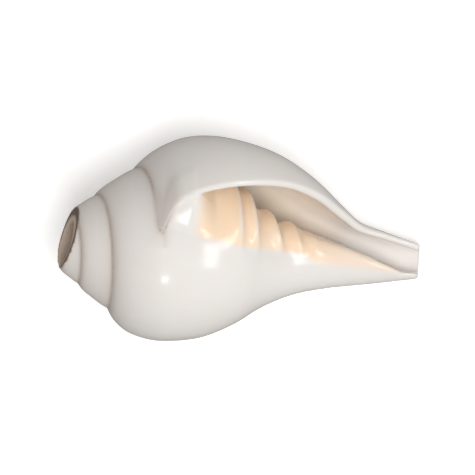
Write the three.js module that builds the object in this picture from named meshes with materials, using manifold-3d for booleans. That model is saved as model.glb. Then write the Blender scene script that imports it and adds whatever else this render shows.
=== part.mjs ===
// A chank shell made into a blowing horn: whorls that turn to the right, a long mouth beside a folded
// pillar, an open canal at the front end, and a flat rim where the point was cut away.
// Lengths are millimetres and angles degrees. The shell is drawn along the axis of its whorls, with the
// mouth facing +Z, and is then rolled and tilted into the pose in which it lies at rest.
import * as THREE from 'three';
import { mergeVertices } from 'three/addons/utils/BufferGeometryUtils.js';
import Module from 'manifold-3d';

const wasm = await Module();
wasm.setup();

// The axis: the cut rim is near 0, and the spiral would come to a point before it.
const SPIRAL_POINT = -16.2;
const CANAL_END = 151;

// Outer face at four angles, from the seam to the canal's end, as [along the axis, radius].
// Angle 0 faces out of the mouth, and the angle grows from the lip back into the older whorls.
const STATIONS = [
  {
    angle: 30,
    outline: [
      [32.4, 36.1], [35.6, 39.9], [42.2, 45.6], [52, 50.2], [63, 51.6], [76, 49.8],
      [90, 45.2], [104, 36.2], [117.5, 23.6], [126, 16.4], [138, 12], [153, 7.2],
    ],
  },
  {
    angle: 90,
    outline: [
      [28.8, 33.4], [31.6, 37], [38.2, 42.5], [48.3, 47.2], [60, 48.5], [74, 46.6],
      [88, 42.2], [103, 33.5], [117, 22], [125, 15.8], [137, 11.8], [153, 7.2],
    ],
  },
  {
    angle: 270,
    outline: [
      [19.4, 26.4], [22, 30.8], [28, 35.8], [38, 38.9], [48, 39], [60.5, 36.8],
      [74, 30.6], [86, 22.6], [99, 16.7], [113, 13.4], [132, 10.6], [153, 7.2],
    ],
  },
  {
    angle: 450,
    outline: [
      [12, 21], [14.2, 23.9], [19.4, 27.8], [28.8, 33.4], [40, 34.8], [52, 33],
      [66, 28.2], [75.5, 21], [84, 14.2], [97, 11.6], [126, 9.2], [153, 7.2],
    ],
  },
];
const SPANS = STATIONS[0].outline.length - 1;
const LAST_ANGLE = STATIONS.at(-1).angle;

// Shrinking of the whorls inside the last station, per degree, on a logarithmic scale.
const SHRINKING = Math.log(33.4 / 21) / 360;

// Wall of the last whorl: thin at the lip, thick behind it, thinner along the canal and in older whorls.
// It thickens and thins again between these angles, and thins towards the canal between these places.
const WALL = 3.6;
const BACK_WALL = 8;
const BACK_WALL_GROWS = [40, 80];
const BACK_WALL_FADES = [190, 240];
const CANAL_WALL = 2.8;
const CANAL_WALL_PLACES = [90, 136];
const WALL_SHRINKING = 0.8 * SHRINKING;

// Edge of the outer lip: it leaves the seam in a notch and sweeps back towards the canal.
const LIP_START = 35;
const LIP_ANGLE = 28;
const LIP_SWEEP = 36;
const LIP_CURVING = 1.3;
const NOTCH_DEPTH = 17;
const NOTCH_LENGTH = 2.2;

// Folds of the pillar, saw-toothed with the steep side to the front: place at the last station, shift
// towards the canal per quarter turn forwards, height, and the widths of the two sides.
const FOLDS_RISE = [345, 375];
const FOLDS_FADE = [500, 560];
const FOLDS = [
  { along: 68.8, shift: 0.4, height: 3.2, back: 7, front: 1.7 },
  { along: 75, shift: 2.4, height: 4.6, back: 3.6, front: 1.6 },
  { along: 84.3, shift: 5.2, height: 4.4, back: 3.8, front: 1.7 },
  { along: 94.4, shift: 4.2, height: 2.2, back: 4, front: 2 },
  { along: 102.5, shift: 3.5, height: 0.9, back: 3.5, front: 2.5 },
];

// Glaze that fills the corner between the lip's back end and the older whorl: how far it stays below the
// lip, where it rises and fades as angles from the lip, and where it thins out along the axis.
const GLAZE_STEP = 0.8;
const GLAZE_RISES = [-24, -1];
const GLAZE_FADES = [12, 40];
const GLAZE_THINS = [45, 59];

// Slanting top edge of the pillar beside the canal, as height above the axis.
const PILLAR_EDGE_ALONG = 104.7;
const PILLAR_EDGE_HEIGHT = 10;
const PILLAR_EDGE_SLOPE = -0.362;
const PILLAR_EDGE_LOWEST = -4.4;

// Cut rim: its plane leans by these slopes, and a tapering hole opens the shell behind it.
const RIM_ALONG = -0.23;
const RIM_SLOPE_UP = 0.23;
const RIM_SLOPE_OUT = 0.06;
const HOLE_RADIUS = 9.5;
const HOLE_INNER_RADIUS = 6.6;
const HOLE_DEPTH = 24;
const HOLE_SHIFT = -0.8;

// Pose at rest: roll about the axis, tilt of the axis, and fineness of the surfaces.
const REST_ROLL = -7.349;
const REST_TILT = 15.25;
const ROWS_PER_TURN = 30;
const OLDER_ROWS_PER_TURN = 26;
const SAMPLES_PER_SPAN = 3;
const CANAL_SAMPLES = 2;
const LOOKUPS_PER_SPAN = 6;

const radians = THREE.MathUtils.degToRad;
const smoothstep = THREE.MathUtils.smoothstep;

function place(along, radius, angle) {
  return new THREE.Vector3(along, radius * Math.sin(radians(angle)), radius * Math.cos(radians(angle)));
}

// Slopes of a value through the stations, for a smooth passage; the last slope is the steady shrinking.
function stationSlopes(values) {
  const gaps = STATIONS.slice(1).map((station, i) => station.angle - STATIONS[i].angle);
  const rises = gaps.map((gap, i) => (values[i + 1] - values[i]) / gap);
  const inner = gaps.slice(1).map(
    (gap, i) => (rises[i] * gap + rises[i + 1] * gaps[i]) / (gap + gaps[i]));
  return [rises[0], ...inner, -SHRINKING];
}

function track(point, coordinate, origin) {
  const values = STATIONS.map((station) => Math.log(station.outline[point][coordinate] - origin));
  return { values, slopes: stationSlopes(values) };
}

const tracks = STATIONS[0].outline.map((_, point) => ({
  along: track(point, 0, SPIRAL_POINT),
  radius: track(point, 1, 0),
}));

function trackValue({ values, slopes }, angle) {
  if (angle >= LAST_ANGLE) {
    return values.at(-1) - SHRINKING * (angle - LAST_ANGLE);
  }
  if (angle <= STATIONS[0].angle) {
    return values[0] + slopes[0] * (angle - STATIONS[0].angle);
  }
  const i = STATIONS.findIndex((station) => station.angle > angle) - 1;
  const gap = STATIONS[i + 1].angle - STATIONS[i].angle;
  const t = (angle - STATIONS[i].angle) / gap;
  const blend = t * t * (3 - 2 * t);
  const leave = t * (1 - t) * (1 - t) * gap * slopes[i];
  const arrive = t * t * (t - 1) * gap * slopes[i + 1];
  return values[i] + blend * (values[i + 1] - values[i]) + leave + arrive;
}

// Curve of the outer face at one angle, from the seam to the canal's end.
function profile(angle) {
  const points = tracks.map(({ along, radius }) => new THREE.Vector3(
    SPIRAL_POINT + Math.exp(trackValue(along, angle)), Math.exp(trackValue(radius, angle)), 0));
  return new THREE.CatmullRomCurve3(points);
}

function plainRadius(along, angle) {
  const points = profile(angle).getPoints(SPANS * LOOKUPS_PER_SPAN);
  const next = points.findIndex((point) => point.x > along);
  const to = next < 1 ? (next === 0 ? 1 : points.length - 1) : next;
  const [a, b] = [points[to - 1], points[to]];
  return a.y + (b.y - a.y) * (along - a.x) / (b.x - a.x);
}

function lipAngle(along) {
  const beyond = Math.max(along - LIP_START, 0);
  const reach = Math.min(beyond / (CANAL_END - LIP_START), 1);
  return LIP_ANGLE + LIP_SWEEP * reach ** LIP_CURVING - NOTCH_DEPTH * Math.exp(-beyond / NOTCH_LENGTH);
}

function wallAt(along, angle) {
  const behind = smoothstep(angle, ...BACK_WALL_GROWS) * (1 - smoothstep(angle, ...BACK_WALL_FADES));
  const thin = smoothstep(along, ...CANAL_WALL_PLACES);
  const older = Math.exp(-WALL_SHRINKING * Math.max(angle - LAST_ANGLE, 0));
  const wall = THREE.MathUtils.lerp(WALL, BACK_WALL, behind);
  return THREE.MathUtils.lerp(wall, CANAL_WALL, thin) * older;
}

// Inner face of the wall, measured square to the outer face.
function innerRadius(along, angle) {
  const STEP = 1;
  const radius = plainRadius(along, angle);
  const slope = (plainRadius(along + STEP, angle) - radius) / STEP;
  return radius - wallAt(along, angle) * Math.hypot(1, slope);
}

function foldHeight(along, angle) {
  const shown = smoothstep(angle, ...FOLDS_RISE) * (1 - smoothstep(angle, ...FOLDS_FADE));
  const heights = FOLDS.map((fold) => {
    const offset = along - fold.along + fold.shift * (angle - LAST_ANGLE) / 90;
    const width = offset < 0 ? fold.back : fold.front;
    return fold.height * Math.exp(-((offset / width) ** 2));
  });
  return shown * heights.reduce((sum, height) => sum + height, 0);
}

function glazeHeight(along, angle) {
  const fromLip = angle - 360 - lipAngle(along);
  const around = smoothstep(fromLip, ...GLAZE_RISES) * (1 - smoothstep(fromLip, ...GLAZE_FADES));
  const lengthwise = 1 - smoothstep(along, ...GLAZE_THINS);
  if (around * lengthwise === 0) {
    return 0;
  }
  const step = plainRadius(along, angle - 360) - plainRadius(along, angle) - GLAZE_STEP;
  return around * lengthwise * Math.max(step, 0);
}

function relief(along, angle) {
  return foldHeight(along, angle) + glazeHeight(along, angle);
}

function solid(geometry) {
  geometry.deleteAttribute('normal');
  geometry.deleteAttribute('uv');
  const welded = mergeVertices(geometry);
  const corners = welded.index.array;
  const triangles = [];
  for (let i = 0; i < corners.length; i += 3) {
    const [a, b, c] = corners.slice(i, i + 3);
    if (a !== b && b !== c && c !== a) {
      triangles.push(a, b, c);
    }
  }
  return new wasm.Manifold(new wasm.Mesh({
    numProp: 3,
    vertProperties: new Float32Array(welded.attributes.position.array),
    triVerts: new Uint32Array(triangles),
  }));
}

function surface(points, triangles) {
  const geometry = new THREE.BufferGeometry().setFromPoints(points);
  geometry.setIndex(triangles);
  return geometry;
}

// Joins rows of equally many points, each row to the next, on the side that faces out.
function strips(rows, length, closed) {
  const triangles = [];
  for (let row = 0; row < rows - 1; row += 1) {
    const here = row * length;
    const there = here + length;
    for (let k = 0; k < (closed ? length : length - 1); k += 1) {
      const next = (k + 1) % length;
      triangles.push(here + k, here + next, there + next, here + k, there + next, there + k);
    }
  }
  return triangles;
}

// Shares of an outline at which half a whorl is sampled. Only the newest two halves reach the canal;
// older ones end under newer ones. The second half carries the front of the folds and is finer there.
function outlineShares(half) {
  const OLDER_SPANS = 4;
  const FIRST_FOLDED_SPAN = 6;
  const FIRST_CANAL_SPAN = 9;
  const shares = [0];
  for (let span = 0; span < (half < 2 ? SPANS : OLDER_SPANS); span += 1) {
    const folded = half === 1 && span >= FIRST_FOLDED_SPAN;
    const samples = span >= FIRST_CANAL_SPAN ? CANAL_SAMPLES : SAMPLES_PER_SPAN * (folded ? 2 : 1);
    for (let k = 1; k <= samples; k += 1) {
      shares.push((span + k / samples) / SPANS);
    }
  }
  return shares;
}

// Half a whorl, filled to the axis. Each half laps over the one before it and lies a hair above it, so
// that the faces never coincide.
function halfWhorl(half) {
  const LAP = 4;
  const HAIR = 0.0015;
  const AXIS_BACK = 20;
  const shares = outlineShares(half);
  const length = shares.length;
  const start = half * 180 - (half > 0 ? LAP : 0);
  const end = (half + 1) * 180 + LAP;
  const rows = (half < 2 ? ROWS_PER_TURN : OLDER_ROWS_PER_TURN) / 2 + 1;
  const points = [];
  for (let row = 0; row < rows; row += 1) {
    for (const share of shares) {
      const lip = lipAngle(profile(LIP_ANGLE).getPoint(share).x);
      const angle = lip + THREE.MathUtils.lerp(start, end, row / (rows - 1));
      const point = profile(angle).getPoint(share);
      points.push(place(point.x, (point.y + relief(point.x, angle)) * (1 + HAIR * half), angle));
    }
  }
  const axisBack = half < 2 ? AXIS_BACK : points[points.length - length].x;
  const axisFront = half < 2 ? CANAL_END + 2 : points.at(-1).x;
  for (let k = 0; k < length; k += 1) {
    points.push(new THREE.Vector3(THREE.MathUtils.lerp(axisBack, axisFront, k / (length - 1)), 0, 0));
  }
  const triangles = strips(rows, length, false);
  const axis = rows * length;
  const last = axis - length;
  for (let row = 0; row < rows - 1; row += 1) {
    const here = row * length;
    const there = here + length;
    triangles.push(axis, here, there);
    triangles.push(axis + length - 1, there + length - 1, here + length - 1);
  }
  for (let k = 0; k < length - 1; k += 1) {
    triangles.push(k + 1, k, axis + k, k + 1, axis + k, axis + k + 1);
    triangles.push(last + k, last + k + 1, axis + k, axis + k, last + k + 1, axis + k + 1);
  }
  return solid(surface(points, triangles));
}

// A solid through sections that run along a roof and back along a floor of as many points.
function loft(sections) {
  const length = sections[0].length;
  const triangles = strips(sections.length, length, true);
  const last = (sections.length - 1) * length;
  for (let k = 0; k < length / 2 - 1; k += 1) {
    const [roof, nextRoof, floor, nextFloor] = [k, k + 1, length - 1 - k, length - 2 - k];
    triangles.push(nextRoof, roof, floor, nextRoof, floor, nextFloor);
    triangles.push(last + roof, last + nextRoof, last + floor);
    triangles.push(last + floor, last + nextRoof, last + nextFloor);
  }
  return solid(surface(sections.flat(), triangles));
}

// Hollow of the whorls, at an angle back from the lip: outside it lies the wall, inside it the pillar or
// the older whorl. It starts near one point of the outline and runs each way to where wall and floor
// come closer than the least gap, or to the point where the canal takes over.
function chamberSection(turnBack, inset, placesBetween) {
  const MIDDLE_POINT = 6;
  const FRONT_POINT = 8;
  const LEAST_GAP = 1;
  const STEP = 1;
  const FARTHEST = 70;
  const roof = (along) => innerRadius(along, lipAngle(along) + turnBack) - inset;
  const floor = (along) => {
    const angle = lipAngle(along) + turnBack + 360;
    return plainRadius(along, angle) + relief(along, angle) + inset;
  };
  const [middle, front] = [MIDDLE_POINT, FRONT_POINT].map(
    (point) => SPIRAL_POINT + Math.exp(trackValue(tracks[point].along, LIP_ANGLE + turnBack)));
  const open = (along) => along < front && roof(along) - floor(along) > LEAST_GAP;
  let [from, to] = [middle, middle];
  while (open(from - STEP) && middle - from < FARTHEST) {
    from -= STEP;
  }
  while (open(to + STEP)) {
    to += STEP;
  }
  const roofPoints = [];
  const floorPoints = [];
  for (const along of placesBetween(from, to, turnBack)) {
    const angle = lipAngle(along) + turnBack;
    roofPoints.push(place(along, roof(along), angle));
    floorPoints.unshift(place(along, floor(along), angle));
  }
  return [...roofPoints, ...floorPoints];
}

// Evenly spaced places from one end of a section to the other.
function evenPlaces(from, to, count) {
  return Array.from({ length: count }, (_, k) => THREE.MathUtils.lerp(from, to, k / (count - 1)));
}

// Places that follow the folds of the pillar: its crests and both of their sides, and even steps behind.
function foldPlaces(from, to, turnBack) {
  const BACK_COUNT = 5;
  const BACK_SHARES = [0.9, 0.35];
  const FRONT_SHARES = [1.2];
  const quarters = (LIP_ANGLE + LIP_SWEEP / 2 + turnBack + 360 - LAST_ANGLE) / 90;
  const crests = FOLDS.flatMap(({ along, shift, back, front }) => {
    const crest = along - shift * quarters;
    const behind = BACK_SHARES.map((share) => crest - share * back);
    return [...behind, crest, ...FRONT_SHARES.map((share) => crest + share * front)];
  });
  const margin = (to - from) / 200;
  const inner = crests.sort((a, b) => a - b).map((along, k) => THREE.MathUtils.clamp(
    along, from + margin * (k + 1), to - margin * (crests.length - k)));
  return [...evenPlaces(from, inner[0], BACK_COUNT), ...inner.slice(1), to];
}

function turnsBetween(first, last, step) {
  return evenPlaces(first, last, Math.round((last - first) / step) + 1);
}

// The mouth's part of the hollow, and the deeper turns, which start inside its end.
function chamber() {
  const MOUTH_TURNS = [-3, 129];
  const MOUTH_STEP = 12;
  const DEEP_TURNS = [118, 838];
  const DEEP_STEP = 24;
  const DEEP_COUNT = 8;
  const DEEP_INSET = 0.2;
  const BEFORE_LIP_INSET = 0.4;
  const mouth = turnsBetween(...MOUTH_TURNS, MOUTH_STEP).map(
    (turn) => chamberSection(turn, turn < 0 ? BEFORE_LIP_INSET : 0, foldPlaces));
  const deep = turnsBetween(...DEEP_TURNS, DEEP_STEP).map(
    (turn) => chamberSection(turn, DEEP_INSET, (from, to) => evenPlaces(from, to, DEEP_COUNT)));
  return loft(mouth).add(loft(deep));
}

// Open canal: inside the wall from the lip around the back to the pillar's edge, and free to the front.
function canalSection(along) {
  const ROOF_POINTS = 9;
  const FRONT = 40;
  const inside = Math.min(along, CANAL_END);
  const slanting = PILLAR_EDGE_HEIGHT + PILLAR_EDGE_SLOPE * (inside - PILLAR_EDGE_ALONG);
  const low = Math.max(slanting, PILLAR_EDGE_LOWEST);
  const lip = lipAngle(inside);
  const depth = innerRadius(inside, 180);
  const back = 180 - THREE.MathUtils.radToDeg(Math.asin(Math.max(low / depth, -1)));
  const roof = [];
  const floor = [];
  for (let k = 0; k < ROOF_POINTS; k += 1) {
    const angle = THREE.MathUtils.lerp(back, lip, k / (ROOF_POINTS - 1));
    const point = place(along, innerRadius(inside, angle), angle);
    roof.push(point);
    floor.unshift(new THREE.Vector3(along, low, point.z));
  }
  roof.push(place(along, plainRadius(inside, lip) + WALL, lip));
  floor.unshift(new THREE.Vector3(along, low, FRONT));
  return [...roof, ...floor];
}

function canal() {
  const PLACES = [100, 108, 116, 122, 128, 134, 140, 146, CANAL_END + 5];
  return loft(PLACES.map(canalSection));
}

function beyondRim() {
  const SIZE = 120;
  const inwards = new THREE.Vector3(1, -RIM_SLOPE_UP, -RIM_SLOPE_OUT).normalize();
  const box = new THREE.BoxGeometry(SIZE, SIZE, SIZE).translate(-SIZE / 2, 0, 0);
  box.applyQuaternion(new THREE.Quaternion().setFromUnitVectors(new THREE.Vector3(1, 0, 0), inwards));
  return solid(box.translate(RIM_ALONG, 0, 0));
}

function rimHole() {
  const BEFORE = 10;
  const SIDES = 32;
  const flare = (HOLE_RADIUS - HOLE_INNER_RADIUS) / HOLE_DEPTH;
  const outline = [
    new THREE.Vector2(0, -BEFORE),
    new THREE.Vector2(HOLE_RADIUS + flare * BEFORE, -BEFORE),
    new THREE.Vector2(HOLE_INNER_RADIUS, HOLE_DEPTH),
    new THREE.Vector2(0, HOLE_DEPTH),
  ];
  const hole = new THREE.LatheGeometry(outline, SIDES).rotateZ(-Math.PI / 2);
  return solid(hole.translate(0, 0, HOLE_SHIFT));
}

function beyondCanal() {
  const SIZE = 60;
  return solid(new THREE.BoxGeometry(SIZE, SIZE, SIZE).translate(CANAL_END + SIZE / 2, 0, 0));
}

// The shell as one body, without the specks that the laps of the whorls leave inside it.
function shellSolid() {
  const whorls = wasm.Manifold.union([0, 1, 2, 3, 4, 5, 6].map(halfWhorl));
  const hollows = chamber().add(canal()).add(rimHole());
  const pieces = whorls.subtract(hollows).subtract(beyondRim()).subtract(beyondCanal()).decompose();
  return pieces.sort((a, b) => b.volume() - a.volume())[0];
}

function shellMesh() {
  const { vertProperties, triVerts } = shellSolid().getMesh();
  const geometry = new THREE.BufferGeometry();
  geometry.setAttribute('position', new THREE.BufferAttribute(new Float32Array(vertProperties), 3));
  geometry.setIndex(new THREE.BufferAttribute(new Uint32Array(triVerts), 1));
  geometry.rotateX(radians(REST_ROLL)).rotateY(radians(REST_TILT));
  geometry.computeBoundingBox();
  const centre = geometry.boundingBox.getCenter(new THREE.Vector3());
  geometry.translate(-centre.x, -centre.y, -geometry.boundingBox.min.z);
  geometry.computeVertexNormals();
  const porcelain = new THREE.MeshStandardMaterial({ color: 0xe9e4dd, roughness: 0.25, metalness: 0 });
  const mesh = new THREE.Mesh(geometry, porcelain);
  mesh.name = 'shell';
  return mesh;
}

const part = new THREE.Group();
part.add(shellMesh());
export default part;
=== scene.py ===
"""Looks of a chank shell made into a blowing horn.

The shell's surface is the zero level of a field, written in the frame of its whorls, in millimetres:
x runs along their axis from the cut rim to the canal's end, z faces out of the mouth, and y is up in the
picture. Angles are degrees about the axis from z towards y, and grow from the lip back into the older
whorls. The finished mesh is turned into the pose at rest and laid where the part lies.
"""
from collections import namedtuple

import bpy
import numpy as np
from mathutils import Matrix, Vector


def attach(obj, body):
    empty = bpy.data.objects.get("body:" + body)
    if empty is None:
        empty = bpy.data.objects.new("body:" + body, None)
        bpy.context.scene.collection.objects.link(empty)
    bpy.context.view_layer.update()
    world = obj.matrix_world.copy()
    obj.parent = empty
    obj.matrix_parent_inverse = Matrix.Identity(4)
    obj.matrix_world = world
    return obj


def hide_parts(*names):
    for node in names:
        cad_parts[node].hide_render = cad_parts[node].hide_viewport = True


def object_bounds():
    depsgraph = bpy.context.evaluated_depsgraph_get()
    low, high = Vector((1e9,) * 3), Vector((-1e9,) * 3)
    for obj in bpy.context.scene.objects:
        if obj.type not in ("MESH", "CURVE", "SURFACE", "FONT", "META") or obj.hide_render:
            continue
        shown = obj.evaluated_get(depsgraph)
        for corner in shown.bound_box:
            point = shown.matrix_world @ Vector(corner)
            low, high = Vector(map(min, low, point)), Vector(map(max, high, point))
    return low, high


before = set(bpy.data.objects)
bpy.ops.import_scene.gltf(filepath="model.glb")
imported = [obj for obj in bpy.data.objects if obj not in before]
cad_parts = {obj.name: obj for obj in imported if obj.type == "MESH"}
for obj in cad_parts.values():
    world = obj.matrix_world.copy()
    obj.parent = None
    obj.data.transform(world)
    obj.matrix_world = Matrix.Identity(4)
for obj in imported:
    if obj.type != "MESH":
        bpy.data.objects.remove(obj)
cad_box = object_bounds()

# The axis: the cut rim is near 0, and the spiral would come to a point before it.
SPIRAL_POINT = -16.2
CANAL_END = 151.0
TURN = 360.0
QUARTER_TURN = TURN / 4
TURNS = 4

# Outer face at four angles, from the seam to the canal's end, as places along the axis and radii.
STATION_ANGLES = np.array([30.0, 90.0, 270.0, 450.0])
STATION_OUTLINES = np.array([
    [(32.4, 36.1), (35.6, 39.9), (42.2, 45.6), (52, 50.2), (63, 51.6), (76, 49.8),
     (90, 45.2), (104, 36.2), (117.5, 23.6), (126, 16.4), (138, 12), (153, 7.2)],
    [(28.8, 33.4), (31.6, 37), (38.2, 42.5), (48.3, 47.2), (60, 48.5), (74, 46.6),
     (88, 42.2), (103, 33.5), (117, 22), (125, 15.8), (137, 11.8), (153, 7.2)],
    [(19.4, 26.4), (22, 30.8), (28, 35.8), (38, 38.9), (48, 39), (60.5, 36.8),
     (74, 30.6), (86, 22.6), (99, 16.7), (113, 13.4), (132, 10.6), (153, 7.2)],
    [(12, 21), (14.2, 23.9), (19.4, 27.8), (28.8, 33.4), (40, 34.8), (52, 33),
     (66, 28.2), (75.5, 21), (84, 14.2), (97, 11.6), (126, 9.2), (153, 7.2)],
])
LAST_ANGLE = STATION_ANGLES[-1]

# The second and the last station are one turn apart, and older whorls go on shrinking as between them.
SHRINKING = np.log(STATION_OUTLINES[1, 0, 1] / STATION_OUTLINES[-1, 0, 1]) / TURN

# Wall of the last whorl, which is thick behind the lip and thins towards the canal.
WALL = 3.6
BACK_WALL = 8.0
BACK_WALL_GROWS = (40, 80)
BACK_WALL_FADES = (190, 240)
CANAL_WALL = 2.8
CANAL_WALL_PLACES = (90, 136)

# The hollow behind the mouth is closed where nothing can be seen of it, as angles from the lip. Further
# along, the pillar's edge is the floor of the canal instead.
HOLLOW_CLOSES = (200, 235)
CLOSED_DEPTH = 70.0
CLOSED_PLACES = (122, 132)
CANAL_FLOOR_STARTS = (108, 120)

# Edge of the outer lip: it leaves the seam in a notch and sweeps back towards the canal.
LIP_START = 35.0
LIP_ANGLE = 28.0
LIP_SWEEP = 36.0
LIP_CURVING = 1.3
NOTCH_DEPTH = 17.0
NOTCH_LENGTH = 2.2

# Folds of the pillar: place at the last station, shift towards the canal per quarter turn forwards,
# height, widths of the back and front sides, and how white the crest is. All of them rise and fade between
# the same angles.
Fold = namedtuple("Fold", "place shift height back front whiteness")
FOLDS = (
    Fold(68.8, 0.4, 3.2, 7.0, 1.7, 0.9),
    Fold(75.0, 2.4, 4.6, 3.6, 1.6, 0.9),
    Fold(84.3, 5.2, 4.4, 3.8, 1.7, 0.6),
    Fold(94.4, 4.2, 2.2, 4.0, 2.0, 0.2),
    Fold(102.5, 3.5, 0.9, 3.5, 2.5, 0.0),
)
FOLDS_RISE = (355, 386)
FOLDS_FADE = (500, 560)

# Glaze in the corner between the lip's back end and the older whorl: how far it stays below the lip, the
# angles of its foot at two places, where it fades as angles from the lip, and where it thins along the axis.
GLAZE_STEP = 0.4
GLAZE_FOOT_PLACES = (36, 60)
GLAZE_FOOT_ANGLES = (372, 365)
GLAZE_FADES = (12, 40)
GLAZE_THINS = (45, 59)

# Slanting top edge of the pillar beside the canal, as height above the axis.
PILLAR_EDGE_ALONG = 104.7
PILLAR_EDGE_HEIGHT = 10.0
PILLAR_EDGE_SLOPE = -0.362
PILLAR_EDGE_LOWEST = -4.4
PILLAR_EDGE_STARTS = (92, 100)
PILLAR_EDGE_TURNS = (205, 235)

# Cut rim: its plane leans by these slopes, and a tapering hole opens the shell behind it.
RIM_ALONG = -0.23
RIM_SLOPES = (0.23, 0.06)
HOLE_RADIUS = 9.5
HOLE_TAPER = 0.121
HOLE_DEPTH = 24.0
HOLE_SHIFT = -0.8

# The canal's end is cut at a slant, and reaches furthest at the back.
END_REACH = 1.4
END_LEAN = 0.19

# Rounding where surfaces meet.
SEAM_ROUND = 0.5
WHORL_ROUND = 0.8
GLAZE_ROUND = 2.0
PILLAR_ROUND = 3.5
FLOOR_ROUND = 2.0
END_ROUND = 1.2
RIM_ROUND = 0.6
HOLE_ROUND = 0.9

# Pose at rest, and the photograph's viewing direction seen from the shell.
REST_ROLL = -7.349
REST_TILT = 15.25
VIEW_YAW = -11.0
VIEW_ROLL = 3.0
VIEW_CENTRE = (72.46, 2.32)
VIEW_WIDTH = 200.7
VIEW_DISTANCE = 6000.0

# Grid on which the surface is found.
GRID_STEP = 0.96
GRID_LOW = np.array([-5.0, -43.0, -48.0])
GRID_HIGH = np.array([157.0, 52.5, 47.5])

# One millimetre, in metres.
MM = 0.001


def smoothstep(value, start, end):
    t = np.clip((value - start) / (end - start), 0, 1)
    return t * t * (3 - 2 * t)


def smooth_max(a, b, width):
    """The larger of two fields, rounded where they come closer than the width."""
    near = np.clip(width - np.abs(a - b), 0, None) / width
    return np.maximum(a, b) + near * near * width / 4


def smooth_min(a, b, width):
    return -smooth_max(-a, -b, width)


# Outer face


def outlines(angles):
    """Points of the outer face at each angle, smooth through the stations and shrinking beyond them."""
    logs = np.log(STATION_OUTLINES - [SPIRAL_POINT, 0])
    gaps = np.diff(STATION_ANGLES)[:, None, None]
    rises = np.diff(logs, axis=0) / gaps
    inner = (rises[:-1] * gaps[1:] + rises[1:] * gaps[:-1]) / (gaps[:-1] + gaps[1:])
    slopes = np.concatenate([rises[:1], inner, np.full_like(rises[:1], -SHRINKING)])
    span = np.clip(np.searchsorted(STATION_ANGLES, angles) - 1, 0, len(gaps) - 1)
    gap = gaps[span]
    share = (angles - STATION_ANGLES[span])[:, None, None] / gap
    t = np.clip(share, 0, 1)
    rise = t * t * (3 - 2 * t) * (logs[span + 1] - logs[span])
    leave = t * (1 - t) ** 2 * gap * slopes[span]
    arrive = t * t * (t - 1) * gap * slopes[span + 1]
    beyond = np.minimum(share, 0) * gap * slopes[0] + np.maximum(share - 1, 0) * gap * slopes[-1]
    return np.exp(logs[span] + rise + leave + arrive + beyond) + [SPIRAL_POINT, 0]


def curves(points, steps):
    """Centripetal curves through rows of points."""
    spans = points.shape[1] - 1
    first = 2 * points[:, :1] - points[:, 1:2]
    last = 2 * points[:, -1:] - points[:, -2:-1]
    ends = np.concatenate([first, points, last], axis=1)
    chords = np.sqrt(np.linalg.norm(np.diff(ends, axis=1), axis=2))[:, :, None]
    before, within, after = (chords[:, i:i + spans] for i in range(3))
    p0, p1, p2, p3 = (ends[:, i:i + spans] for i in range(4))
    leave = ((p1 - p0) / before - (p2 - p0) / (before + within)) * within + p2 - p1
    arrive = p2 - p1 + ((p3 - p2) / after - (p3 - p1) / (within + after)) * within
    t = (np.arange(steps) / steps)[:, None]
    cubic = (2 * (p1 - p2) + leave + arrive)[:, :, None] * t**3
    square = (3 * (p2 - p1) - 2 * leave - arrive)[:, :, None] * t**2
    drawn = cubic + square + leave[:, :, None] * t + p1[:, :, None]
    return np.concatenate([drawn.reshape(len(points), -1, 2), points[:, -1:]], axis=1)


def face_tables(alongs, angles):
    """Radius of the outer face over places and angles, carried on straight past its ends, and the seam."""
    REACH = 60.0
    STEPS = 16
    controls = outlines(angles)
    rows = []
    for line in curves(controls, STEPS):
        start = line[0] - (line[1] - line[0]) * REACH / (line[1, 0] - line[0, 0])
        end = line[-1] + (line[-1] - line[-2]) * REACH / (line[-1, 0] - line[-2, 0])
        line = np.vstack([start, line, end])
        rows.append(np.interp(alongs, line[:, 0], line[:, 1]))
    return np.array(rows), controls[:, 0, 0]


ALONG_STEP = 0.4
ALONG_RANGE = (-12, 162)
ANGLE_STEP = 1.0
ANGLE_RANGE = (-60, TURN * TURNS + 40)
ALONGS = np.arange(*ALONG_RANGE, ALONG_STEP)
ANGLES = np.arange(*ANGLE_RANGE, ANGLE_STEP)
FACE, SEAM = face_tables(ALONGS, ANGLES)
FACE_ROUND, FACE_ALONG = np.gradient(FACE, np.radians(ANGLE_STEP), ALONG_STEP)


def look_up(table, along, angle):
    """Value of a table at any place and angle, and at its edge beyond them."""
    BEFORE_END = 1.001
    row = np.clip((angle - ANGLES[0]) / ANGLE_STEP, 0, table.shape[0] - BEFORE_END)
    column = np.clip((along - ALONGS[0]) / ALONG_STEP, 0, table.shape[1] - BEFORE_END)
    i = row.astype(int)
    j = column.astype(int)
    across = column - j
    near = table[i, j] * (1 - across) + table[i, j + 1] * across
    far = table[i + 1, j] * (1 - across) + table[i + 1, j + 1] * across
    return near + (far - near) * (row - i)


# Lip, wall, folds and glaze


def lip_angle(along):
    beyond = np.maximum(along - LIP_START, 0)
    reach = np.minimum(beyond / (CANAL_END - LIP_START), 1)
    return LIP_ANGLE + LIP_SWEEP * reach**LIP_CURVING - NOTCH_DEPTH * np.exp(-beyond / NOTCH_LENGTH)


def lip_slope(along):
    STEP = 0.5
    return np.radians(lip_angle(along + STEP) - lip_angle(along - STEP)) / (2 * STEP)


def wall_at(along, angle):
    behind = smoothstep(angle, *BACK_WALL_GROWS) * (1 - smoothstep(angle, *BACK_WALL_FADES))
    wall = WALL + (BACK_WALL - WALL) * behind
    return wall + (CANAL_WALL - wall) * smoothstep(along, *CANAL_WALL_PLACES)


def fold_offset(fold, along, angle):
    return along - fold.place + fold.shift * (angle - LAST_ANGLE) / QUARTER_TURN


def folds_shown(angle):
    return smoothstep(angle, *FOLDS_RISE) * (1 - smoothstep(angle, *FOLDS_FADE))


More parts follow.
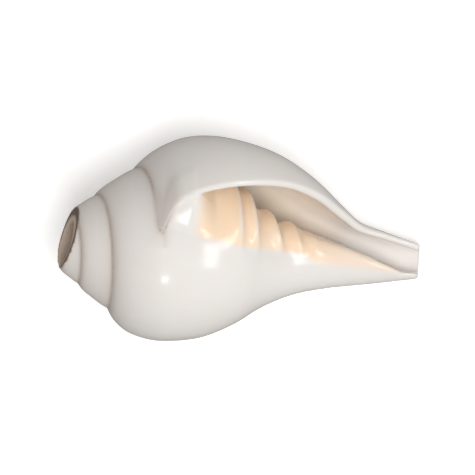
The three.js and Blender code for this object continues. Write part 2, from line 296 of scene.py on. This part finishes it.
def fold_height(along, angle):
    total = np.zeros_like(along)
    for fold in FOLDS:
        offset = fold_offset(fold, along, angle)
        width = np.where(offset < 0, fold.back, fold.front)
        total += fold.height * np.exp(-((offset / width) ** 2))
    return total * folds_shown(angle)


def glaze_share(along, angle):
    """How much of the step up to the lip the glaze fills, from 0 to 1."""
    foot = np.interp(along, GLAZE_FOOT_PLACES, GLAZE_FOOT_ANGLES)
    from_lip = angle - TURN - lip_angle(along)
    rise = np.clip((angle - foot) / np.maximum(angle - from_lip - foot, 1), 0, 1)
    around = rise * rise * (2 - rise) * (1 - smoothstep(from_lip, *GLAZE_FADES))
    return around * (1 - smoothstep(along, *GLAZE_THINS))


def glaze_height(along, angle):
    step = look_up(FACE, along, angle - TURN) - look_up(FACE, along, angle) - GLAZE_STEP
    return glaze_share(along, angle) * np.maximum(step, 0)


def outside_face(along, radius, angle):
    """Distance outside the whorl's outer face, with its folds and glaze."""
    LEAST_RADIUS = 3.0
    relief = fold_height(along, angle) + glaze_height(along, angle)
    tilt = look_up(FACE_ALONG, along, angle)
    turn = look_up(FACE_ROUND, along, angle) / np.maximum(radius, LEAST_RADIUS)
    return (radius - look_up(FACE, along, angle) - relief) / np.sqrt(1 + tilt**2 + turn**2)


# Field of the whole shell


def above_pillar_edge(along, height):
    low = PILLAR_EDGE_HEIGHT + PILLAR_EDGE_SLOPE * (along - PILLAR_EDGE_ALONG)
    return height - np.maximum(low, PILLAR_EDGE_LOWEST)


def whorl_field(along, height, radius, angle):
    """One turn of the whorls: a wall with a round edge behind the lip, and solid further back."""
    FAR = 60.0
    from_lip = angle - lip_angle(along)
    outside = outside_face(along, radius, angle)
    wall = wall_at(along, angle)
    closed = smoothstep(from_lip, *HOLLOW_CLOSES) * (1 - smoothstep(along, *CLOSED_PLACES))
    depth = wall + CLOSED_DEPTH * closed
    arc = np.radians(from_lip) * radius / np.sqrt(1 + (radius * lip_slope(along)) ** 2)
    far_back = from_lip > QUARTER_TURN
    before_edge = np.where(far_back, 0, np.clip(wall / 2 - arc, 0, None))
    value = np.hypot(before_edge, outside + depth / 2) - depth / 2
    above = above_pillar_edge(along, height)
    floor = smooth_max(outside, above + FAR * (1 - smoothstep(along, *CANAL_FLOOR_STARTS)), FLOOR_ROUND)
    floor = np.maximum(floor, np.where(far_back, -FAR, wall / 2 - arc))
    value = np.minimum(value, floor)
    cut = smoothstep(along, *PILLAR_EDGE_STARTS) * smoothstep(from_lip, *PILLAR_EDGE_TURNS)
    value = smooth_max(value, above - FAR * (1 - cut), PILLAR_ROUND)
    return smooth_max(value, np.interp(angle, ANGLES, SEAM) - along, SEAM_ROUND)


def polar(points):
    along, height, out = points.T
    return along, height, out, np.hypot(height, out), np.degrees(np.arctan2(height, out)) % TURN


def rim_distance(along, height, out):
    """Distance beyond the plane of the cut rim."""
    rise, forward = RIM_SLOPES
    return (RIM_ALONG + rise * height + forward * out - along) / np.sqrt(1 + rise**2 + forward**2)


def hole_distance(along, height, out):
    """Distance outside the hole behind the rim."""
    side = np.hypot(height, out - HOLE_SHIFT) - (HOLE_RADIUS - HOLE_TAPER * along)
    return np.maximum(side, along - HOLE_DEPTH)


def whorl_fields(points):
    along, height, _, radius, angle = polar(points)
    return [whorl_field(along, height, radius, angle + TURN * turn) for turn in range(TURNS)]


def field(points):
    """Negative inside the shell and positive outside it, in about millimetres."""
    along, height, out, _, angle = polar(points)
    newest, second, *older = whorl_fields(points)
    value = smooth_min(newest, second, WHORL_ROUND + GLAZE_ROUND * glaze_share(along, angle + TURN))
    for whorl in older:
        value = smooth_min(value, whorl, WHORL_ROUND)
    value = smooth_max(value, along - CANAL_END - END_REACH + END_LEAN * out, END_ROUND)
    value = smooth_max(value, rim_distance(along, height, out), RIM_ROUND)
    return smooth_max(value, -hole_distance(along, height, out), HOLE_ROUND)


def gradient(points):
    STEP = 0.25
    sides = np.eye(3) * STEP
    return np.stack([field(points + side) - field(points - side) for side in sides], axis=1) / (2 * STEP)


# Mesh


def sampled_field(axes):
    """Field on a grid, one slab at a time."""
    slabs = []
    for along in axes[0]:
        heights, outs = np.meshgrid(axes[1], axes[2], indexing="ij")
        slab = np.stack([np.full(heights.size, along), heights.ravel(), outs.ravel()], axis=1)
        slabs.append(field(slab).reshape(heights.shape))
    return np.array(slabs)


def surface_net(values):
    """Points, in grid steps, and four-sided faces of the surface where the values change sign."""
    inside = values < 0
    corners = np.array([(i, j, k) for i in (0, 1) for j in (0, 1) for k in (0, 1)])
    cells = np.array(values.shape) - 1

    def corner_values(grid, corner):
        return grid[tuple(slice(start, start + size) for start, size in zip(corner, cells))]

    count = sum(corner_values(inside, corner).astype(int) for corner in corners)
    crossed = (count > 0) & (count < len(corners))
    places = np.argwhere(crossed)
    number = np.full(crossed.shape, -1)
    number[crossed] = np.arange(len(places))
    total = np.zeros((len(places), 3))
    edges = np.zeros(len(places))
    for a in corners:
        for b in corners:
            if np.sum(b - a) != 1 or np.any(b < a):
                continue
            at_a = values[tuple((places + a).T)]
            at_b = values[tuple((places + b).T)]
            cut = (at_a < 0) != (at_b < 0)
            share = np.where(cut, at_a / np.where(cut, at_a - at_b, 1), 0)
            total += cut[:, None] * (a + share[:, None] * (b - a))
            edges += cut
    faces = []
    for axis in range(3):
        one, other = (axis + 1) % 3, (axis + 2) % 3
        ahead = np.roll(inside, -1, axis=axis)
        changes = inside != ahead
        changes[tuple(-1 if i == axis else slice(None) for i in range(3))] = False
        places_cut = np.argwhere(changes)
        quad = []
        for step_one, step_other in ((-1, -1), (0, -1), (0, 0), (-1, 0)):
            cell = places_cut.copy()
            cell[:, one] += step_one
            cell[:, other] += step_other
            quad.append(number[tuple(cell.T)])
        quad = np.stack(quad, axis=1)
        leaving = inside[tuple(places_cut.T)]
        quad[~leaving] = quad[~leaving][:, ::-1]
        faces.append(quad)
    return places + total / edges[:, None], np.concatenate(faces)


def settled(points):
    """The points moved onto the surface, never further than a grid step."""
    ROUNDS = 4
    LEAST_SLOPE = 0.05
    moved = points.copy()
    for _ in range(ROUNDS):
        slope = gradient(moved)
        steepness = np.maximum(np.sum(slope**2, axis=1), LEAST_SLOPE)
        step = -(field(moved) / steepness)[:, None] * slope
        moved = points + np.clip(moved + step - points, -GRID_STEP, GRID_STEP)
    return moved


def shell_surface():
    axes = [np.arange(low, high, GRID_STEP) for low, high in zip(GRID_LOW, GRID_HIGH)]
    places, faces = surface_net(sampled_field(axes))
    points = settled(places * GRID_STEP + GRID_LOW)
    slope = gradient(points)
    return points, faces, slope / np.linalg.norm(slope, axis=1)[:, None]


# Places of the markings and of the painted light and shade


def masks(points):
    """Where each marking and each patch of painted light or shade shows, from 0 to 1, and the place along
    the growth of the shell.
    """
    PEACH_STARTS = (46.5, 53.0)
    PEACH_EDGE_PLACES = (47, 68, 86, 98, 106, 142)
    PEACH_EDGE_HEIGHTS = (5.8, 2.2, 0.8, 0.5, -3.4, -5.5)
    PEACH_EDGE_BLUR = (-1.2, 2.2)
    PEACH_FADES = (490, 560)
    PEACH_PALES = (92, 122)
    PEACH_PALING = 0.45
    PILLAR_EDGE_BLUR = (-0.4, 0.8)
    BELOW_PILLAR = (290, 320)
    CREST_WIDTH = 1.1
    CREST_LEAN = 0.3
    INSIDE_DEPTHS = (0.55, 1.0)
    INSIDE_FROM_LIP = (0, 8)
    INSIDE_PALES = (95, 125)
    SEAM_LINE = (0.75, 0.45)
    SEAM_SHADE_HALO = (0.25, 4.0)
    SEAM_FADES = (37, 43)
    HOLE_EDGE = (0.1, 0.8)
    RIM_EDGE = (-0.4, -0.1)
    RIM_SHADE_DEPTHS = (1.1, 1.9)
    along, height, out, radius, angle = polar(points)
    turns = whorl_fields(points)
    total = angle + TURN * np.argmin(turns, axis=0)
    below = smoothstep(angle, *BELOW_PILLAR)
    pillar = np.maximum(smoothstep(turns[0] - turns[1], *PILLAR_EDGE_BLUR), below)
    inner = np.where(below > 0, angle, angle + TURN)
    edge = np.interp(along, PEACH_EDGE_PLACES, PEACH_EDGE_HEIGHTS)
    peach = smoothstep(along, *PEACH_STARTS) * smoothstep(height - edge, *PEACH_EDGE_BLUR)
    peach = peach * pillar * (1 - smoothstep(inner, *PEACH_FADES))
    peach = peach * (1 - PEACH_PALING * smoothstep(along, *PEACH_PALES))
    crest = np.zeros_like(along)
    for fold in FOLDS:
        offset = fold_offset(fold, along, inner) - CREST_LEAN
        crest = np.maximum(crest, fold.whiteness * np.exp(-((offset / CREST_WIDTH) ** 2)))
    crest = crest * pillar * folds_shown(inner)
    outside = outside_face(along, radius, angle)
    wall = wall_at(along, angle)
    # Painted light: deep inside the mouth the shell gets a lighter, warmer colour, standing in for light
    # bounced inside it.
    inside = smoothstep(-outside / wall, *INSIDE_DEPTHS) * (1 - smoothstep(along, *INSIDE_PALES))
    inside = inside * smoothstep(angle - lip_angle(along), *INSIDE_FROM_LIP)
    # The suture's own thin brown line, and a broad soft band of painted shade beside it.
    second_nearest = np.sort(np.abs(turns), axis=0)[1]
    seam = sum(share * np.exp(-second_nearest / width) for share, width in (SEAM_LINE, SEAM_SHADE_HALO))
    seam = seam * (1 - smoothstep(along, *SEAM_FADES))
    hole = 1 - smoothstep(hole_distance(along, height, out), *HOLE_EDGE)
    face = smoothstep(rim_distance(along, height, out), *RIM_EDGE)
    # Painted shade: the band of the cut rim's face next to the outer surface is darkened for the shade on
    # it.
    rim = face * (1 - smoothstep(-np.min(turns, axis=0), *RIM_SHADE_DEPTHS))
    hole = np.maximum(hole, face)
    growth = np.stack([total / TURN, (along - SPIRAL_POINT) / CANAL_END, radius / CANAL_END], axis=1)
    return {"peach": peach, "crest": crest, "inside": inside, "seam": seam, "rim": rim, "hole": hole}, growth


def turned(degrees, axis):
    return np.array(Matrix.Rotation(np.radians(degrees), 3, axis))


REST = turned(REST_TILT, "Y") @ turned(REST_ROLL, "X")


def shell_object(material):
    """The shell at rest where the part lies, and how far that moved it, in metres."""
    points, faces, normals = shell_surface()
    shares, growth = masks(points)
    placed = points @ REST.T * MM
    low, high = (np.array(corner) for corner in cad_box)
    middle = (placed.min(axis=0) + placed.max(axis=0)) / 2
    shift = (low + high) / 2 - middle
    shift[2] = low[2] - placed[:, 2].min()
    mesh = bpy.data.meshes.new("polished_shell")
    mesh.from_pydata((placed + shift).tolist(), [], faces.tolist())
    for name, share in shares.items():
        mesh.attributes.new(name, "FLOAT", "POINT").data.foreach_set("value", share)
    mesh.attributes.new("growth", "FLOAT_VECTOR", "POINT").data.foreach_set("vector", growth.ravel())
    mesh.shade_smooth()
    mesh.normals_split_custom_set_from_vertices((normals @ REST.T).tolist())
    mesh.materials.append(material)
    piece = bpy.data.objects.new("polished_shell", mesh)
    bpy.context.scene.collection.objects.link(piece)
    return piece, shift


# Materials


class Nodes:
    """Short calls for building a material's nodes."""

    def __init__(self, name):
        self.material = bpy.data.materials.new(name)
        self.material.use_nodes = True
        self.tree = self.material.node_tree
        self.shader = self.tree.nodes["Principled BSDF"]

    def add(self, kind, **settings):
        node = self.tree.nodes.new(kind)
        for name, value in settings.items():
            setattr(node, name, value)
        return node

    def link(self, source, target):
        self.tree.links.new(source, target)

    def share(self, name):
        return self.add("ShaderNodeAttribute", attribute_name=name).outputs["Fac"]

    def noise(self, vector, scale, detail):
        node = self.add("ShaderNodeTexNoise")
        node.inputs["Scale"].default_value = scale
        node.inputs["Detail"].default_value = detail
        self.link(vector, node.inputs["Vector"])
        return node.outputs["Fac"]

    def stretched(self, vector, scale):
        node = self.add("ShaderNodeMapping")
        node.inputs["Scale"].default_value = scale
        self.link(vector, node.inputs["Vector"])
        return node.outputs["Vector"]

    def ranged(self, value, low, high):
        node = self.add("ShaderNodeMapRange")
        node.inputs["To Min"].default_value = low
        node.inputs["To Max"].default_value = high
        self.link(value, node.inputs["Value"])
        return node.outputs["Result"]

    def worked(self, operation, a, b):
        node = self.add("ShaderNodeMath", operation=operation)
        self.link(a, node.inputs[0])
        self.link(b, node.inputs[1])
        return node.outputs["Value"]

    def bump(self, height, strength, distance):
        node = self.add("ShaderNodeBump")
        node.inputs["Strength"].default_value = strength
        node.inputs["Distance"].default_value = distance
        self.link(height, node.inputs["Height"])
        return node

    def mixed(self, factor, below, above):
        """One colour over another. A colour is a socket or three numbers."""
        node = self.add("ShaderNodeMix", data_type="RGBA")
        self.link(factor, node.inputs["Factor"])
        for colour, socket in ((below, node.inputs["A"]), (above, node.inputs["B"])):
            if isinstance(colour, tuple):
                socket.default_value = (*colour, 1)
            else:
                self.link(colour, socket)
        return node.outputs["Result"]


def shell_material():
    WHITE = (0.83, 0.81, 0.79)
    CREAM = (0.80, 0.76, 0.71)
    PEACH = (0.97, 0.72, 0.50)
    PALE_PEACH = (0.97, 0.81, 0.66)
    CREST = (0.90, 0.85, 0.80)
    INSIDE_BOUNCE_LIGHT = (0.97, 0.88, 0.77)
    SEAM_LINE_AND_SHADE_BROWN = (0.34, 0.24, 0.17)
    RIM_SHADE_BROWN = (0.16, 0.12, 0.09)
    HOLE_BEIGE = (0.58, 0.48, 0.40)
    STREAK_STRETCH = (60, 5, 5)
    CLOUD_SCALE = 38.0
    GRAIN_SCALE = 900.0
    CREAM_SHARES = (-0.1, 0.9)
    PALE_SHARES = (-0.6, 1.6)
    POLISHED_ROUGHNESS = (0.12, 0.24)
    GROUND_ROUGHNESS = 0.5
    nodes = Nodes("polished_shell")
    growth = nodes.add("ShaderNodeAttribute", attribute_name="growth").outputs["Vector"]
    place = nodes.add("ShaderNodeTexCoord").outputs["Object"]
    streaks = nodes.noise(nodes.stretched(growth, STREAK_STRETCH), scale=1.0, detail=3.0)
    clouds = nodes.noise(place, scale=CLOUD_SCALE, detail=3.0)
    grain = nodes.noise(place, scale=GRAIN_SCALE, detail=2.0)
    cream = nodes.ranged(nodes.worked("MULTIPLY", streaks, clouds), *CREAM_SHARES)
    colour = nodes.mixed(cream, WHITE, CREAM)
    peach = nodes.mixed(nodes.ranged(clouds, *PALE_SHARES), PEACH, PALE_PEACH)
    # Painted light inside the mouth: a lighter, warmer colour for light bounced inside it.
    colour = nodes.mixed(nodes.share("inside"), colour, INSIDE_BOUNCE_LIGHT)
    colour = nodes.mixed(nodes.share("peach"), colour, peach)
    colour = nodes.mixed(nodes.share("crest"), colour, CREST)
    # Brown of the suture's line, and painted shade in the soft band beside it.
    colour = nodes.mixed(nodes.share("seam"), colour, SEAM_LINE_AND_SHADE_BROWN)
    colour = nodes.mixed(nodes.share("hole"), colour, HOLE_BEIGE)
    # Painted shade on the cut rim's face.
    colour = nodes.mixed(nodes.share("rim"), colour, RIM_SHADE_BROWN)
    nodes.link(colour, nodes.shader.inputs["Base Color"])
    polished = nodes.ranged(clouds, *POLISHED_ROUGHNESS)
    ground = nodes.ranged(nodes.share("rim"), 0.0, GROUND_ROUGHNESS)
    roughness = nodes.worked("ADD", polished, ground)
    nodes.link(roughness, nodes.shader.inputs["Roughness"])
    ridges = nodes.bump(streaks, strength=0.03, distance=0.0004)
    pits = nodes.bump(grain, strength=0.05, distance=0.0002)
    nodes.link(ridges.outputs["Normal"], pits.inputs["Normal"])
    nodes.link(pits.outputs["Normal"], nodes.shader.inputs["Normal"])
    nodes.shader.inputs["IOR"].default_value = 1.55
    nodes.shader.inputs["Subsurface Weight"].default_value = 0.3
    nodes.shader.inputs["Subsurface Radius"].default_value = (1.0, 0.8, 0.6)
    nodes.shader.inputs["Subsurface Scale"].default_value = 0.003
    return nodes.material


def floor_material():
    """A white light table, which keeps the shadows pale."""
    nodes = Nodes("pale_floor")
    nodes.shader.inputs["Emission Color"].default_value = (1, 1, 1, 1)
    nodes.shader.inputs["Emission Strength"].default_value = 0.35
    nodes.shader.inputs["Base Color"].default_value = (0.9, 0.9, 0.9, 1)
    nodes.shader.inputs["Roughness"].default_value = 0.8
    return nodes.material


# Stage, lights and camera


def picture_axes():
    """Right, up and towards the viewer in the photograph, in the frame of the part at rest."""
    roll = turned(VIEW_ROLL, "Z")
    yaw = turned(VIEW_YAW, "Y")
    return REST @ yaw @ roll


def add_floor():
    SIZE = 4.0
    mesh = bpy.data.meshes.new("floor")
    half = SIZE / 2
    corners = [(-half, -half, 0), (half, -half, 0), (half, half, 0), (-half, half, 0)]
    mesh.from_pydata(corners, [], [(0, 1, 2, 3)])
    mesh.materials.append(floor_material())
    floor = bpy.data.objects.new("floor", mesh)
    # Left out of reflections, so that the shell's edges stay dark against it.
    floor.visible_glossy = False
    bpy.context.scene.collection.objects.link(floor)


def add_light(name, aim, axes, place, size, power, mirrored=True):
    """A rectangle of light that faces the aim and stands upright in the picture.

    Its place is right, up and towards the viewer from the aim, in metres. Unless mirrored, it leaves no
    highlight on the shell.
    """
    light = bpy.data.lights.new(name, "AREA")
    light.shape = "RECTANGLE"
    light.size, light.size_y = size
    light.energy = power
    lamp = bpy.data.objects.new(name, light)
    reach = axes @ place
    forward = reach / np.linalg.norm(reach)
    side = np.cross(axes[:, 1], forward)
    side = side / np.linalg.norm(side)
    placed = Matrix(np.stack([side, np.cross(forward, side), forward], axis=1).tolist()).to_4x4()
    placed.translation = Vector(aim + reach)
    lamp.matrix_world = placed
    lamp.visible_glossy = mirrored
    bpy.context.scene.collection.objects.link(lamp)


def add_camera(axes, centre):
    SENSOR = 36.0
    camera = bpy.data.cameras.new("camera")
    camera.sensor_width = SENSOR
    camera.lens = SENSOR * VIEW_DISTANCE / VIEW_WIDTH
    lookout = bpy.data.objects.new("camera", camera)
    placed = Matrix(axes.tolist()).to_4x4()
    placed.translation = Vector(centre + axes[:, 2] * VIEW_DISTANCE * MM)
    lookout.matrix_world = placed
    bpy.context.scene.collection.objects.link(lookout)
    bpy.context.scene.camera = lookout


def add_world():
    world = bpy.data.worlds.new("studio")
    world.use_nodes = True
    background = world.node_tree.nodes["Background"]
    background.inputs["Color"].default_value = (1, 0.92, 0.84, 1)
    background.inputs["Strength"].default_value = 0.2
    bpy.context.scene.world = world


shell, shift = shell_object(shell_material())
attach(shell, "root")
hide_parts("shell")

axes = picture_axes()
centre = shift + axes[:, :2] @ VIEW_CENTRE * MM
add_floor()
add_world()
add_light("softbox", centre, axes, place=(0.03, -0.18, 1.19), size=(0.45, 0.45), power=9.9, mirrored=False)
add_light("window", centre, axes, place=(0.6, -0.08, 0.53), size=(0.17, 0.42), power=1.1)
add_light("lamp", centre, axes, place=(0, -0.5, 0.63), size=(0.14, 0.1), power=0.5)
add_camera(axes, centre)
bpy.context.scene.view_settings.view_transform = "Standard"
